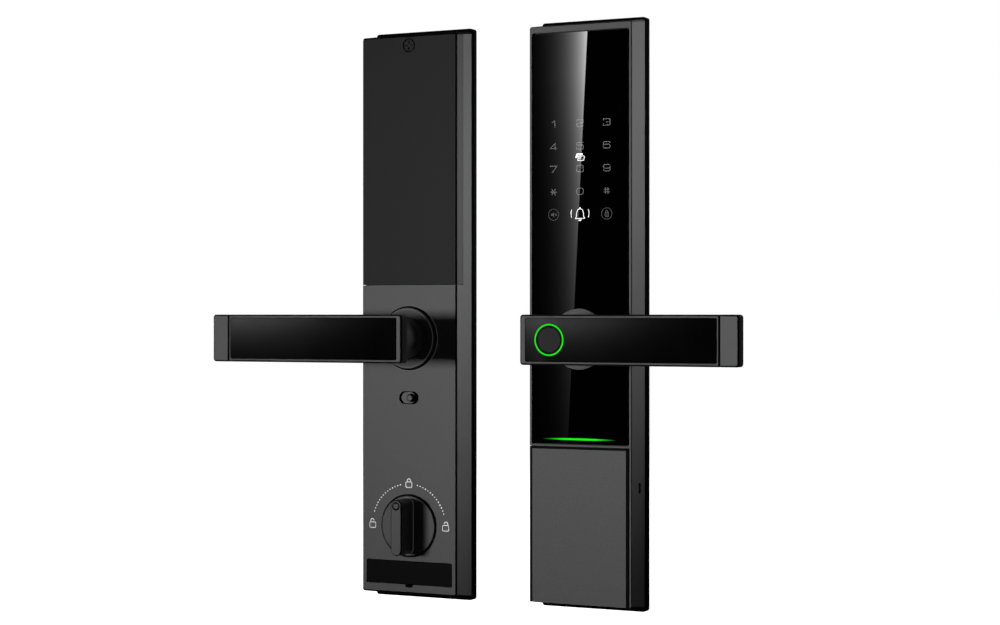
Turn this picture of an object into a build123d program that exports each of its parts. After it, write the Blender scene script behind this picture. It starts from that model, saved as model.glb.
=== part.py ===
from build123d import *
import math
import os

# Keypad smart lock: its two door units side by side, both fronts facing -Y.
# Millimetres. X right, Y into the door, Z up. The origin is on the door face, on the outer lever's axis.
# Every function models its piece with the unit's lever axis at X = 0; the interior unit is moved at the end.

# ---- Both units
unit_pitch = 125.0          # from the exterior unit's centre to the interior unit's
middle_z = 15.8             # mid-height of a unit above its lever axis
face_y = -27.0              # front face
shell_back = -6.2           # where a housing meets its tray
tray_floor = -3.0           # inside face of a tray
tray_back = -1.5            # where a tray meets its gasket
base_size = (73.2, 380.0)   # tray and gasket
shell_back_size = (72.3, 376.8)
shell_front_size = (71.7, 370.4)
cavity_back_size = (67.4, 371.8)
cavity_front_size = (66.7, 366.6)
ext_wall_back = -22.2       # back of the exterior housing's front wall
int_wall_back = -24.2       # back of the interior housing's front wall
fit = 0.05                  # radial running clearance
gap = 0.3                   # clearance between pieces that move past each other

# ---- Fixings
post_z = (172.0, -155.7)    # through-bolt heights
bolt_hole_r = 2.75
post_thread_r = 2.1
post_end = 24.0             # how far the exterior posts reach into the door
screw_r = 1.5
screw_places = [(x, z) for x in (-28.0, 28.0) for z in (192.0, 32.0, -163.0)]
cable_hole = (30.0, 5.5)    # height and radius
spindle_hole_r = 7.0
turn_z = -124.4             # thumbturn and emergency key axis
tail_hole_r = 6.5

# ---- Exterior front
glass_size = (68.4, 264.3)
glass_margin = 0.75
glass_z = 64.55             # glass mid-height
glass_front = -26.9
glass_back = -25.3
glass_hole_r = 17.0
board_pocket_back = -23.5
light_bar_z = -63.9
light_bar_length = 54.0
key_zone_top = -68.6
key_zone_y = -24.3
key_cover_side = (-35.5, 34.1)   # left and right edges; the housing keeps a rail on the right
key_cover_front = face_y - 0.6    # the cover stands a little proud of the housing
key_cover_travel = 67.0
cover_slot_x = 25.0
lug_length = 12.0
lug_top = -78.0
port_y = -14.6
port_z = -94.6

# ---- Levers and their bearings
arm_start = -20.2
arm_end = 124.9
arm_cap_end = 111.7          # where the arm stops short of the end cap
cap_start = 113.2
arm_half_height = 15.7
arm_front = -72.7
arm_back = -63.7
inlay_half_height = 13.8
inlay_start = -16.6
inlay_end = 111.0
inlay_margin = 0.35
inlay_back = -71.2
neck_r = 13.5
hub_r = 12.5
spigot_r = 8.0
cup_r = 9.0
hub_front = -50.0
hub_back = -6.0
boss_end = -40.5            # back end of the lever's neck
sleeve_front = -39.5
sleeve_back = -30.0
rose_front = -29.3
ext_rose_r = 19.5
int_rose_r = 20.1
bushing_r = 15.5
bushing_back = -13.3
boss_r = 18.5
circlip_front = -12.9
circlip_back = -11.9
circlip_groove_r = 11.5
wire_bore_r = 3.0
spindle_half = 4.0
spindle_end = 40.0
pin_y = -8.8
pin_r = 1.5

# ---- Fingerprint sensor
sensor_ring_outer = 9.9
sensor_ring_inner = 8.6
sensor_face_r = 7.7
sensor_pocket_floor = -67.2

# ---- Interior front
cover_bottom = 35.2
cover_top = 200.0
cover_depth_y = -17.8
cover_side = 34.0
bay_half = 31.0
bay_bottom = 42.0
bay_top = 154.0
cell_r = 7.1
cell_length = 49.5
cell_pitch = 14.6
cell_y = -16.9
cover_screw_z = 194.3
slider_z = -39.5
slider_slot_length = 14.8
slider_travel = 2.8
slider_plate = (-5.9, 4.3)     # ends of the recessed slide at rest, from the slot's middle
slider_knob_x = 1.6
slider_half_height = 4.3
turn_disc_r = 20.1
turn_shaft_r = 5.0
turn_spigot_r = 2.8            # the shaft's end inside the grip bar
turn_bushing_r = 8.0
turn_bar_front = -44.5
access_size = (64.4, 15.2)
access_z = -155.7


def front_plane(y, x=0.0, z=0.0):
    """A sketch plane at depth y that faces the viewer: sketch X is X, sketch Y is Z."""
    return Plane(origin=(x, y, z), x_dir=(1, 0, 0), z_dir=(0, -1, 0))


def block(x, y, z):
    """A box from its (low, high) limits on each axis."""
    size = [high - low for low, high in (x, y, z)]
    middle = [(low + high) / 2 for low, high in (x, y, z)]
    return Pos(*middle) * Box(*size)


def rod(radius, front, back, x=0.0, z=0.0):
    """A cylinder along Y."""
    return Pos(x, (front + back) / 2, z) * Rot(90, 0, 0) * Cylinder(radius, back - front)


def plate(outline, front, back, x=0.0, z=0.0):
    """A flat outline extruded along Y."""
    return extrude(front_plane(back, x, z) * outline, amount=back - front)


def section(size, radius, y):
    return front_plane(y, 0, middle_z) * RectangleRounded(size[0], size[1], radius)


def shell_blank(edge):
    """The solid outer form of a housing, with a bevel of the given size round its face."""
    face_size = (shell_front_size[0] - 2 * edge, shell_front_size[1] - 2 * edge)
    back = section(shell_back_size, 2.0, shell_back)
    front = section(shell_front_size, 1.5, face_y + edge)
    face = section(face_size, 0.8, face_y)
    body = loft([back, front], ruled=True)
    return body + loft([front, face], ruled=True)


def cavity(wall_back):
    """The hollow behind a front wall."""
    back = section(cavity_back_size, 1.5, shell_back)
    front = section(cavity_front_size, 1.5, wall_back)
    return loft([back, front], ruled=True)


def screw_bosses(wall_back):
    """Bosses for the screws that hold a housing to its tray, with their holes."""
    bosses = [rod(3.2, wall_back - 0.5, tray_floor, x, z) for x, z in screw_places]
    holes = [rod(screw_r, wall_back + 3.0, tray_floor, x, z) for x, z in screw_places]
    return bosses, holes


# ---------------------------------------------------------------- shared fixed pieces

def back_tray(bolt_r):
    """The steel tray that closes a housing and lies against the door through its gasket."""
    body = plate(RectangleRounded(*base_size, 1.8), shell_back, tray_back, 0, middle_z)
    body -= plate(RectangleRounded(*cavity_back_size, 1.5), shell_back, tray_floor, 0, middle_z)
    for x, z in screw_places:
        body -= rod(screw_r, tray_floor, tray_back, x, z)
        body -= rod(2.9, -2.2, tray_back, x, z)
    return body - passages(bolt_r, tray_floor, tray_back)


def passages(bolt_r, front, back):
    """Holes through a tray or gasket for bolts, spindle, tailpiece and cable."""
    holes = rod(spindle_hole_r, front, back)
    holes += rod(tail_hole_r, front, back, 0, turn_z)
    holes += rod(cable_hole[1], front, back, 0, cable_hole[0])
    for z in post_z:
        holes += rod(bolt_r, front, back, 0, z)
    return holes


def gasket(bolt_r):
    """The rubber sheet between a tray and the door."""
    body = plate(RectangleRounded(*base_size, 1.8), tray_back, 0.0, 0, middle_z)
    return body - passages(bolt_r, tray_back, 0.0)


def tray_screws():
    """The screws that fasten a housing to its tray, heads flush in the tray's back."""
    screws = []
    for x, z in screw_places:
        screws.append(rod(screw_r, -14.0, -2.2, x, z) + rod(2.9, -2.2, tray_back, x, z))
    return Compound(children=screws)


def rose(collar_r):
    """The collar round a lever's hub, with a spigot down to the wall behind it."""
    collar = rod(collar_r, rose_front, face_y + 0.1)
    collar = fillet(collar.edges().group_by(Axis.Y)[0], 0.6)
    collar += rod(16.5, face_y + 0.1, glass_back)
    return collar - rod(hub_r + gap, rose_front, glass_back)


def lever_bushing():
    return rod(bushing_r, glass_back, bushing_back) - rod(hub_r + fit, glass_back, bushing_back)


def return_spring(mirrored):
    """A torsion spring of three turns with two straight legs, round the housing's boss."""
    wire_r = 0.8
    coil_r = 20.6
    coil = Helix(pitch=2.1, height=6.3, radius=coil_r, center=(0, -21.0, 0), direction=(0, 1, 0))
    leg_length = 8.0
    first = Line(coil @ 0 - (coil % 0) * leg_length, coil @ 0)
    last = Line(coil @ 1, coil @ 1 + (coil % 1) * leg_length)
    path = Wire([first, coil, last])
    spring = sweep(Plane(origin=path @ 0, z_dir=path % 0) * Circle(wire_r), path=path)
    return mirror(spring, about=Plane.YZ) if mirrored else spring


# ---------------------------------------------------------------- shared lever pieces

def arm_bar():
    """The lever's flat bar, its edges rounded, from the neck end to the tip."""
    bar = block((arm_start, arm_end), (arm_front, arm_back), (-arm_half_height, arm_half_height))
    bar = fillet(bar.edges().filter_by(Axis.Y), 2.0)
    bar = fillet(bar.faces().sort_by(Axis.Y)[-1].edges(), 1.8)
    return fillet(bar.faces().sort_by(Axis.Y)[0].edges(), 1.1)


def arm_tongue():
    """What joins the end cap to the arm."""
    return block((arm_cap_end - 0.1, 119.0), (-70.0, -66.4), (-10.0, 10.0))


def lever_frame():
    """The cast arm with its neck, hollowed for the inlay, the hub's spigot and the wires."""
    bar = arm_bar()
    arm = bar & block((arm_start - 1, arm_cap_end), (arm_front - 1, arm_back + 1), (-20, 20))
    arm += arm_tongue()
    arm += rod(neck_r, arm_back - 1.0, boss_end)
    outline = RectangleRounded(inlay_end - inlay_start, 2 * inlay_half_height, 1.2)
    arm -= plate(outline, arm_front - 1, inlay_back, (inlay_start + inlay_end) / 2)
    arm -= rod(spigot_r, hub_front - 0.1, boss_end)
    return arm - rod(wire_bore_r, sensor_pocket_floor, hub_front)


def lever_end_cap():
    bar = arm_bar() & block((cap_start, arm_end + 1), (arm_front - 1, arm_back + 1), (-20, 20))
    return bar - arm_tongue()


def lever_inlay():
    """The glossy plate let into the arm's front."""
    outline = RectangleRounded(
        inlay_end - inlay_start - 2 * inlay_margin, 2 * (inlay_half_height - inlay_margin), 1.2 - inlay_margin
    )
    return plate(outline, arm_front + 0.1, inlay_back, (inlay_start + inlay_end) / 2)


def lever_hub():
    """The journal that turns in the bushing, with a spigot into the lever and a groove for its circlip."""
    hub = rod(spigot_r, hub_front, boss_end) + rod(hub_r, boss_end, hub_back)
    hub += rod(neck_r, sleeve_front, sleeve_back)
    groove = rod(hub_r + 1, circlip_front - 0.02, circlip_back + 0.02)
    groove -= rod(circlip_groove_r, circlip_front - 0.02, circlip_back + 0.02)
    return hub - groove - rod(wire_bore_r, hub_front, -24.0)


def open_ring(inner_r, outer_r, front, back, opening):
    """A circlip: a flat ring with a gap at the bottom."""
    ring = rod(outer_r, front, back) - rod(inner_r, front, back)
    return ring - block((-opening / 2, opening / 2), (front, back), (-outer_r - 1, 0))


def square_bar(front, back):
    return block((-spindle_half, spindle_half), (front, back), (-spindle_half, spindle_half))


# ---------------------------------------------------------------- exterior unit

def ext_housing():
    """The cast exterior shell: bezel round the glass, a step for the key cover, bosses and slots."""
    body = shell_blank(0.55) - cavity(ext_wall_back)
    body += rod(boss_r, ext_wall_back - 0.5, -14.0)
    body += rod(12.0, ext_wall_back - 0.5, -14.0, 0, turn_z)
    board_posts = [rod(2.2, ext_wall_back - 0.5, -16.0, x, z) for x in (-24, 24) for z in (62, 158)]
    bosses, screw_holes = screw_bosses(ext_wall_back)
    for boss in board_posts + bosses:
        body += boss
    body -= plate(RectangleRounded(*glass_size, 1.6), face_y, glass_back, 0, glass_z)
    body -= block((-29.0, 29.0), (glass_back, board_pocket_back), (58.0, 190.0))
    body -= block((-40.0, key_cover_side[1] + gap), (face_y - 1, key_zone_y), (-180.0, key_zone_top))
    body -= light_bar_slot()
    body -= rod(bushing_r, glass_back, -14.0)
    body -= rod(9.0, key_zone_y, -14.0, 0, turn_z)
    slot_middle = lug_top - (lug_length + key_cover_travel) / 2
    slot_length = lug_length + key_cover_travel + 2 * gap
    for x in (-cover_slot_x, cover_slot_x):
        slot = plate(Rectangle(4.0 + 2 * gap, slot_length), key_zone_y, ext_wall_back, x, slot_middle)
        body -= slot
    body -= port_opening(30.0, 38.0)
    for hole in screw_holes:
        body -= hole
    return body


def light_bar_slot():
    low, high = light_bar_z - 1.3, light_bar_z + 1.3
    return block((-light_bar_length / 2, light_bar_length / 2), (glass_back, ext_wall_back), (low, high))


def port_opening(x_low, x_high):
    """The oblong way in to the side power port."""
    slot = SlotOverall(7.0, 3.5)
    plane = Plane(origin=(x_low, port_y, port_z), x_dir=(0, 0, 1), z_dir=(1, 0, 0))
    return extrude(plane * slot, amount=x_high - x_low)


def ext_glass_panel():
    outline = RectangleRounded(glass_size[0] - 2 * glass_margin, glass_size[1] - 2 * glass_margin, 1.2)
    panel = plate(outline, glass_front, glass_back, 0, glass_z)
    return panel - rod(glass_hole_r, glass_front, glass_back)


def ext_touch_board():
    return block((-28.5, 28.5), (board_pocket_back - 1.2, board_pocket_back), (58.5, 189.5))


def ext_card_antenna():
    """The card reader's flat loop, between the touch board and the glass."""
    front = board_pocket_back - 1.6
    back = board_pocket_back - 1.2
    outer = plate(RectangleRounded(50.0, 70.0, 4.0), front, back, 0, 112.0)
    return outer - plate(RectangleRounded(44.0, 64.0, 2.0), front, back, 0, 112.0)


def ext_light_bar():
    return light_bar_slot()


def ext_controller_board():
    """The exterior circuit board with its larger chips."""
    board = block((-27.0, 27.0), (-16.0, -14.4), (56.0, 164.0))
    chips = [(-12.0, 80.0, 12.0), (8.0, 84.0, 9.0), (-6.0, 112.0, 14.0), (14.0, 134.0, 8.0), (-14.0, 146.0, 7.0)]
    for x, z, width in chips:
        half = width / 2
        board += block((x - half, x + half), (-14.4, -13.0), (z - half, z + half))
    return board


def ext_speaker():
    body = rod(10.0, ext_wall_back, -18.0, 0, -42.0)
    return body + rod(6.0, -18.0, -16.4, 0, -42.0)


def ext_clutch_motor():
    """The small geared motor that works the clutch, above the hub."""
    body = block((-6.0, 6.0), (-15.0, -5.2), (26.0, 50.0))
    shaft = Pos(0, -10.0, 23.5) * Cylinder(1.5, 5.0)
    return body + shaft


def ext_power_port():
    """The emergency power socket behind the slot in the side."""
    body = block((26.0, 33.2), (port_y - 2.9, port_y + 2.9), (port_z - 4.8, port_z + 4.8))
    body -= port_opening(27.0, 34.0)
    return body + block((26.5, 32.6), (port_y - 0.35, port_y + 0.35), (port_z - 2.2, port_z + 2.2))


def ext_key_cylinder():
    return rod(9.0, -23.9, -5.0, 0, turn_z) - rod(6.0 + fit, -23.9, -5.0, 0, turn_z)


def key_plug():
    """The turning core, with its keyway in front and a slot for the tailpiece behind."""
    plug = rod(6.0, -23.8, -5.2, 0, turn_z)
    plug -= block((-0.8, 0.8), (-23.8, -12.0), (turn_z - 4.0, turn_z + 4.0))
    return plug - block((-1.2, 1.2), (-10.0, -5.2), (turn_z - 3.0, turn_z + 3.0))


def key_tailpiece():
    return block((-1.2, 1.2), (-10.0, 35.0), (turn_z - 3.0, turn_z + 3.0))


def key_cover():
    """The sliding cover: bevelled left, top and right, held by two T-shaped lugs in the wall's slots."""
    top = key_zone_top - gap
    bottom = -169.2
    left, right = key_cover_side
    bevel, top_bevel = 2.0, 1.5
    bevel_y = key_cover_front + 0.45
    back_y = key_zone_y - gap
    body = block((left, right), (bevel_y, back_y), (bottom, top))
    across, up = (left + right) / 2, (top + bottom) / 2
    outer = front_plane(bevel_y, across, up) * Rectangle(right - left, top - bottom)
    inner = front_plane(key_cover_front, across, up - top_bevel / 2)
    inner = inner * Rectangle(right - left - 2 * bevel, top - top_bevel - bottom)
    body += loft([outer, inner], ruled=True)
    for x in (-cover_slot_x, cover_slot_x):
        body += block((x - 2.0, x + 2.0), (back_y - 0.3, -20.4), (lug_top - lug_length, lug_top))
        body += block((x - 3.6, x + 3.6), (ext_wall_back + gap, -20.4), (lug_top - lug_length, lug_top))
    return body


def ext_mounting_posts():
    """Two threaded posts, flanged inside the tray, that take the through bolts."""
    posts = []
    for z in post_z:
        post = rod(4.0, tray_floor, post_end, 0, z) + rod(7.0, tray_floor - 1.5, tray_floor, 0, z)
        posts.append(post - rod(post_thread_r, post_end - 20.0, post_end, 0, z))
    return Compound(children=posts)


def ext_lever_hub():
    """The exterior hub, bored as a cup for the spindle hub, with a hole for the clutch pin."""
    hub = lever_hub() - rod(cup_r + fit, -24.0, hub_back)
    return hub - Pos(0, pin_y, hub_r) * Cylinder(pin_r + fit, 9.0)


def ext_spindle_hub():
    """The driven hub inside the lever's cup, with the pin's hole and the square socket."""
    hub = rod(cup_r, -23.7, hub_back)
    hub -= square_bar(-20.0, hub_back)
    return hub - Pos(0, pin_y, 7.9) * Cylinder(pin_r + 0.2, 4.2)


def clutch_pin():
    """The pin that locks the lever's hub to the spindle hub."""
    shank = Pos(0, pin_y, 10.6) * Cylinder(pin_r, 8.8)
    return shank + Pos(0, pin_y, 15.6) * Cylinder(2.4, 1.2)


def ext_lever_frame():
    pocket = rod(sensor_ring_outer, arm_front - 1, sensor_pocket_floor)
    return lever_frame() - pocket


def ext_lever_inlay():
    return lever_inlay() - rod(sensor_ring_outer, arm_front - 1, inlay_back)


def fingerprint_sensor():
    body = rod(sensor_ring_inner, -71.9, sensor_pocket_floor)
    return body + rod(sensor_face_r, arm_front + 0.4, -71.9)


def fingerprint_light_ring():
    front = arm_front + 0.05
    return rod(sensor_ring_outer, front, sensor_pocket_floor) - rod(sensor_ring_inner, front, sensor_pocket_floor)


# ---------------------------------------------------------------- interior unit

def int_housing():
    """The cast interior shell: battery bay above, lever, slider, thumbturn and access hatch below."""
    hollow = cavity(int_wall_back)
    for low, high in ((-40.0, -cover_side + 1.6), (cover_side - 1.6, 40.0)):
        hollow -= block((low, high), (face_y, shell_back), (cover_bottom - 2.0, 210.0))
    body = shell_blank(1.0) - hollow
    body += rod(boss_r, int_wall_back - 0.5, -14.0)
    body += rod(11.0, int_wall_back - 0.5, -12.0, 0, turn_z)
    body += rod(4.2, int_wall_back - 0.5, -15.0, 0, cover_screw_z)
    bosses, screw_holes = screw_bosses(int_wall_back)
    for boss in bosses:
        body += boss
    zone = (cover_bottom, cover_top)
    body -= block((-40.0, 40.0), (face_y - 1, -25.2), zone)
    body -= block((-40.0, -cover_side), (face_y - 1, cover_depth_y), zone)
    body -= block((cover_side, 40.0), (face_y - 1, cover_depth_y), zone)
    body -= block((-bay_half, bay_half), (-25.2, int_wall_back), (bay_bottom, bay_top))
    body -= rod(screw_r + fit, -25.2, -15.0, 0, cover_screw_z)
    body -= rod(int_rose_r + 1.3, face_y, face_y + 1.2) - rod(int_rose_r, face_y, face_y + 1.2)
    body -= rod(int_rose_r, face_y, face_y + 0.1) + rod(16.5, face_y, glass_back)
    body -= rod(bushing_r, glass_back, -14.0)
    slider_slot = SlotOverall(slider_slot_length, 2 * slider_half_height)
    body -= plate(slider_slot, face_y, int_wall_back, 0, slider_z)
    body -= rod(turn_disc_r + 1.0, face_y, face_y + 1.5, 0, turn_z)
    body -= rod(turn_bushing_r, face_y + 1.5, -12.0, 0, turn_z)
    body -= plate(RectangleRounded(access_size[0] + 0.6, access_size[1] + 0.6, 1.3), face_y, -25.3, 0, access_z)
    body -= plate(Rectangle(5.7, 2.2), face_y, int_wall_back, 0, access_z - access_size[1] / 2 - 1.0)
    body -= rod(4.6, -25.3, int_wall_back, 0, access_z)
    for hole in screw_holes:
        body -= hole
    return body


def battery_cover():
    """The cover that wraps the front and sides of the bay, with a recess for its captive screw."""
    low = cover_bottom + gap
    high = cover_top - gap
    body = shell_blank(1.0) & block((-40.0, 40.0), (face_y - 1, cover_depth_y - gap), (low, high))
    inner = cover_side + gap
    body -= block((-inner, inner), (-25.5, 0.0), (low - 1, high + 1))
    body -= rod(4.6, face_y, -26.2, 0, cover_screw_z)
    return body - rod(2.0, -26.2, -25.5, 0, cover_screw_z)


def cover_screw():
    """The captive screw: a flat head with four short tool slots, and its shank."""
    head_front = face_y + 0.1
    screw = rod(3.8, head_front, -26.35, 0, cover_screw_z) + rod(screw_r, -26.35, -17.0, 0, cover_screw_z)
    for turn in range(4):
        angle = math.radians(90 * turn)
        x, z = 2.1 * math.cos(angle), 2.1 * math.sin(angle)
        size = (1.05, 0.4) if turn % 2 == 0 else (0.4, 1.05)
        screw -= block(
            (x - size[0], x + size[0]), (head_front, head_front + 0.3),
            (cover_screw_z + z - size[1], cover_screw_z + z + size[1]),
        )
    return screw


def battery_holder():
    """The tray that holds the cells in two rows, open to the front."""
    body = block((-32.0, 32.0), (int_wall_back, -8.2), (39.0, 157.0))
    body -= block((-29.8, 29.8), (int_wall_back, -9.5), (43.0, 97.5))
    return body - block((-29.8, 29.8), (int_wall_back, -9.5), (98.5, 153.0))


def cell_columns():
    return [cell_pitch * (column - 1.5) for column in range(4)]


def batteries():
    """Eight AA cells in four columns and two rows, alternate columns turned over."""
    cells = []
    for row_low in (43.0, 98.5):
        for column, x in enumerate(cell_columns()):
            plus_up = column % 2 == 0
            low = row_low + 3.4 if plus_up else row_low + 1.5
            nub = low + cell_length + 0.5 if plus_up else low - 0.5
            cell = Pos(x, cell_y, low + cell_length / 2) * Cylinder(cell_r, cell_length)
            cells.append(cell + Pos(x, cell_y, nub) * Cylinder(2.7, 1.0))
    return Compound(children=cells)


def battery_contacts():
    """A flat plate at each cell's positive end and a conical spring plate at its negative end."""
    contacts = []
    for row_low, row_high in ((43.0, 97.5), (98.5, 153.0)):
        for column, x in enumerate(cell_columns()):
            up = 1 if column % 2 == 0 else -1
            plus_z = row_high - 0.25 if up == 1 else row_low + 0.25
            minus_z = row_low + 0.25 if up == 1 else row_high - 0.25
            contacts.append(Pos(x, cell_y, plus_z) * Box(9.0, 8.0, 0.5))
            coil = Cone(4.0, 2.4, 2.9) if up == 1 else Cone(2.4, 4.0, 2.9)
            contacts.append(Pos(x, cell_y, minus_z) * Box(9.0, 8.0, 0.5) + Pos(x, cell_y, minus_z + up * 1.7) * coil)
    return Compound(children=contacts)


def int_main_board():
    """The interior circuit board with its larger chips."""
    board = block((-28.0, 28.0), (-11.4, -9.8), (-96.0, -52.0))
    for x, z, width in ((-14.0, -70.0, 11.0), (6.0, -66.0, 8.0), (16.0, -82.0, 10.0)):
        half = width / 2
        board += block((x - half, x + half), (-9.8, -8.4), (z - half, z + half))
    return board


def privacy_slider():
    """The slider: a foot behind the wall, a recessed oblong slide in the slot and a round knob."""
    low, high = slider_plate
    foot = block((low - 2.0, high + 2.0), (int_wall_back + gap, int_wall_back + 1.8), (slider_z - 6.0, slider_z + 6.0))
    outline = SlotOverall(high - low, 2 * slider_half_height - 1.2)
    slide = plate(outline, -26.2, int_wall_back + gap, (low + high) / 2, slider_z)
    knob = rod(2.3, -29.0, -26.2, slider_knob_x, slider_z)
    slide -= rod(2.9, -26.2, -25.7, slider_knob_x, slider_z) - rod(2.3, -26.2, -25.7, slider_knob_x, slider_z)
    return foot + slide + fillet(knob.edges().group_by(Axis.Y)[0], 0.5)


def privacy_switch():
    """The microswitch beside the slider's foot, with its plunger."""
    body = block((14.0, 20.5), (int_wall_back, -17.0), (slider_z - 6.4, slider_z + 6.4))
    return body + block((12.6, 14.0), (-21.6, -20.0), (slider_z - 1.0, slider_z + 1.0))


def turn_knob():
    """The thumbturn: a thin disc with a long grip bar and a marker dimple near the bar's top."""
    disc = rod(turn_disc_r, -28.2, face_y + 1.2, 0, turn_z)
    disc = fillet(disc.edges().group_by(Axis.Y)[0], 0.5)
    bar = plate(SlotOverall(37.0, 8.1, rotation=90), turn_bar_front, -28.0, 0, turn_z)
    bar = fillet(bar.edges().group_by(Axis.Y)[0], 0.7)
    foot = plate(SlotOverall(38.4, 9.6, rotation=90), -29.0, -28.0, 0, turn_z)
    knob = disc + bar + foot
    dimple = rod(2.8, turn_bar_front, turn_bar_front + 1.2, 0, turn_z + 14.2)
    knob -= dimple - rod(1.7, turn_bar_front, turn_bar_front + 1.2, 0, turn_z + 14.2)
    return knob - rod(turn_spigot_r, -36.0, face_y + 1.2, 0, turn_z)


def turn_shaft():
    """The thumbturn's journal, its circlip groove and the flat tailpiece behind it."""
    shaft = rod(turn_spigot_r, -36.0, face_y + 1.2, 0, turn_z) + rod(turn_shaft_r, face_y + 1.2, -6.0, 0, turn_z)
    shaft -= rod(turn_shaft_r + 1, -11.62, -10.58, 0, turn_z) - rod(4.2, -11.62, -10.58, 0, turn_z)
    return shaft + block((-1.5, 1.5), (-6.0, 35.0), (turn_z - 4.0, turn_z + 4.0))


def turn_bushing():
    front = face_y + 1.5
    return rod(turn_bushing_r, front, -12.0, 0, turn_z) - rod(turn_shaft_r + fit, front, -12.0, 0, turn_z)


def turn_detent_spring():
    """The leaf that holds the thumbturn in its three places."""
    leaf = block((12.0, 12.8), (-18.0, -13.0), (turn_z - 14.0, turn_z + 14.0))
    foot = block((12.0, 18.0), (-18.0, -13.0), (turn_z + 13.2, turn_z + 14.0))
    return leaf + foot


def access_cover():
    """The small hatch over the lower fixing bolt, with a locating pad behind it."""
    body = plate(RectangleRounded(*access_size, 1.2), face_y + 0.1, -25.6, 0, access_z)
    return fillet(body.edges().group_by(Axis.Y)[0], 0.3)


def int_lever_hub():
    """The interior hub, with its square socket."""
    return lever_hub() - square_bar(-30.0, hub_back)


# ---------------------------------------------------------------- writing

def exterior_nodes():
    return {
        "ext_housing": ext_housing(),
        "ext_back_tray": back_tray(4.0),
        "ext_gasket": gasket(4.0),
        "ext_mounting_posts": ext_mounting_posts(),
        "ext_tray_screws": tray_screws(),
        "ext_glass_panel": ext_glass_panel(),
        "ext_touch_board": ext_touch_board(),
        "ext_card_antenna": ext_card_antenna(),
        "ext_light_bar": ext_light_bar(),
        "ext_controller_board": ext_controller_board(),
        "ext_speaker": ext_speaker(),
        "ext_rose": rose(ext_rose_r),
        "ext_bushing": lever_bushing(),
        "ext_return_spring": return_spring(False),
        "ext_clutch_motor": ext_clutch_motor(),
        "ext_key_cylinder": ext_key_cylinder(),
        "ext_power_port": ext_power_port(),
        "ext_lever_frame": ext_lever_frame(),
        "ext_lever_inlay": ext_lever_inlay(),
        "ext_lever_end_cap": lever_end_cap(),
        "fingerprint_sensor": fingerprint_sensor(),
        "fingerprint_light_ring": fingerprint_light_ring(),
        "ext_lever_hub": ext_lever_hub(),
        "ext_circlip": open_ring(circlip_groove_r, 15.0, circlip_front, circlip_back, 6.0),
        "ext_spindle_hub": ext_spindle_hub(),
        "ext_spindle_bar": square_bar(-20.0, spindle_end),
        "clutch_pin": clutch_pin(),
        "key_cover": key_cover(),
        "key_plug": key_plug(),
        "key_tailpiece": key_tailpiece(),
    }


def interior_nodes():
    circlip = open_ring(circlip_groove_r, 15.0, circlip_front, circlip_back, 6.0)
    turn_circlip = Pos(0, 0, turn_z) * open_ring(4.2, 7.4, -11.6, -10.6, 3.0)
    return {
        "int_housing": int_housing(),
        "int_back_tray": back_tray(bolt_hole_r),
        "int_gasket": gasket(bolt_hole_r),
        "int_housing_screws": tray_screws(),
        "int_main_board": int_main_board(),
        "battery_holder": battery_holder(),
        "battery_contacts": battery_contacts(),
        "batteries": batteries(),
        "int_rose": rose(int_rose_r),
        "int_bushing": lever_bushing(),
        "int_return_spring": return_spring(True),
        "turn_bushing": turn_bushing(),
        "turn_detent_spring": turn_detent_spring(),
        "privacy_switch": privacy_switch(),
        "battery_cover": battery_cover(),
        "cover_screw": cover_screw(),
        "int_lever_frame": mirror(lever_frame(), about=Plane.YZ),
        "int_lever_inlay": mirror(lever_inlay(), about=Plane.YZ),
        "int_lever_end_cap": mirror(lever_end_cap(), about=Plane.YZ),
        "int_lever_hub": int_lever_hub(),
        "int_circlip": circlip,
        "int_spindle_bar": square_bar(-30.0, spindle_end),
        "turn_knob": turn_knob(),
        "turn_shaft": turn_shaft(),
        "turn_circlip": turn_circlip,
        "privacy_slider": privacy_slider(),
        "access_cover": access_cover(),
    }


os.makedirs("parts", exist_ok=True)
for name, solid in exterior_nodes().items():
    export_step(solid, f"parts/{name}.step")
for name, solid in interior_nodes().items():
    export_step(Pos(-unit_pitch, 0, 0) * solid, f"parts/{name}.step")
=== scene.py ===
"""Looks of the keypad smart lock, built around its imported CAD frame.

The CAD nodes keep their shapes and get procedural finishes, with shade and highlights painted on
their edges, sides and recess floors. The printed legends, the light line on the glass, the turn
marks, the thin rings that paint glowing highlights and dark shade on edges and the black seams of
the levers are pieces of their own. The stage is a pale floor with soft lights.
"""

import math

import bmesh
import bpy
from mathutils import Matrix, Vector


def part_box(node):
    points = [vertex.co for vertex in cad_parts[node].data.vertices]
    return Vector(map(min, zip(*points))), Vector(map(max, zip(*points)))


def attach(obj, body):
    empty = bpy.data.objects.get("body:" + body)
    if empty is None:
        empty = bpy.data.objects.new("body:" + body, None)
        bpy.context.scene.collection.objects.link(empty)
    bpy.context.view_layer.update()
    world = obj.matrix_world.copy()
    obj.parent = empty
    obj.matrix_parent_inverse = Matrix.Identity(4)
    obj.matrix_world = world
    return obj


MM = 0.001

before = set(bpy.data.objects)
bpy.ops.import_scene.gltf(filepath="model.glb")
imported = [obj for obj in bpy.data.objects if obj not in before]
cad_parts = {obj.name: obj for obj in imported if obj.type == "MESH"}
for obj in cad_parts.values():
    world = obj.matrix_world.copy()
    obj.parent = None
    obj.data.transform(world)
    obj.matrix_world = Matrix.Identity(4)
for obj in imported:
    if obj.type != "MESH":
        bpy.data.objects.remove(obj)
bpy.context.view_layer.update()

# ---------------------------------------------------------------- node helpers

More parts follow.
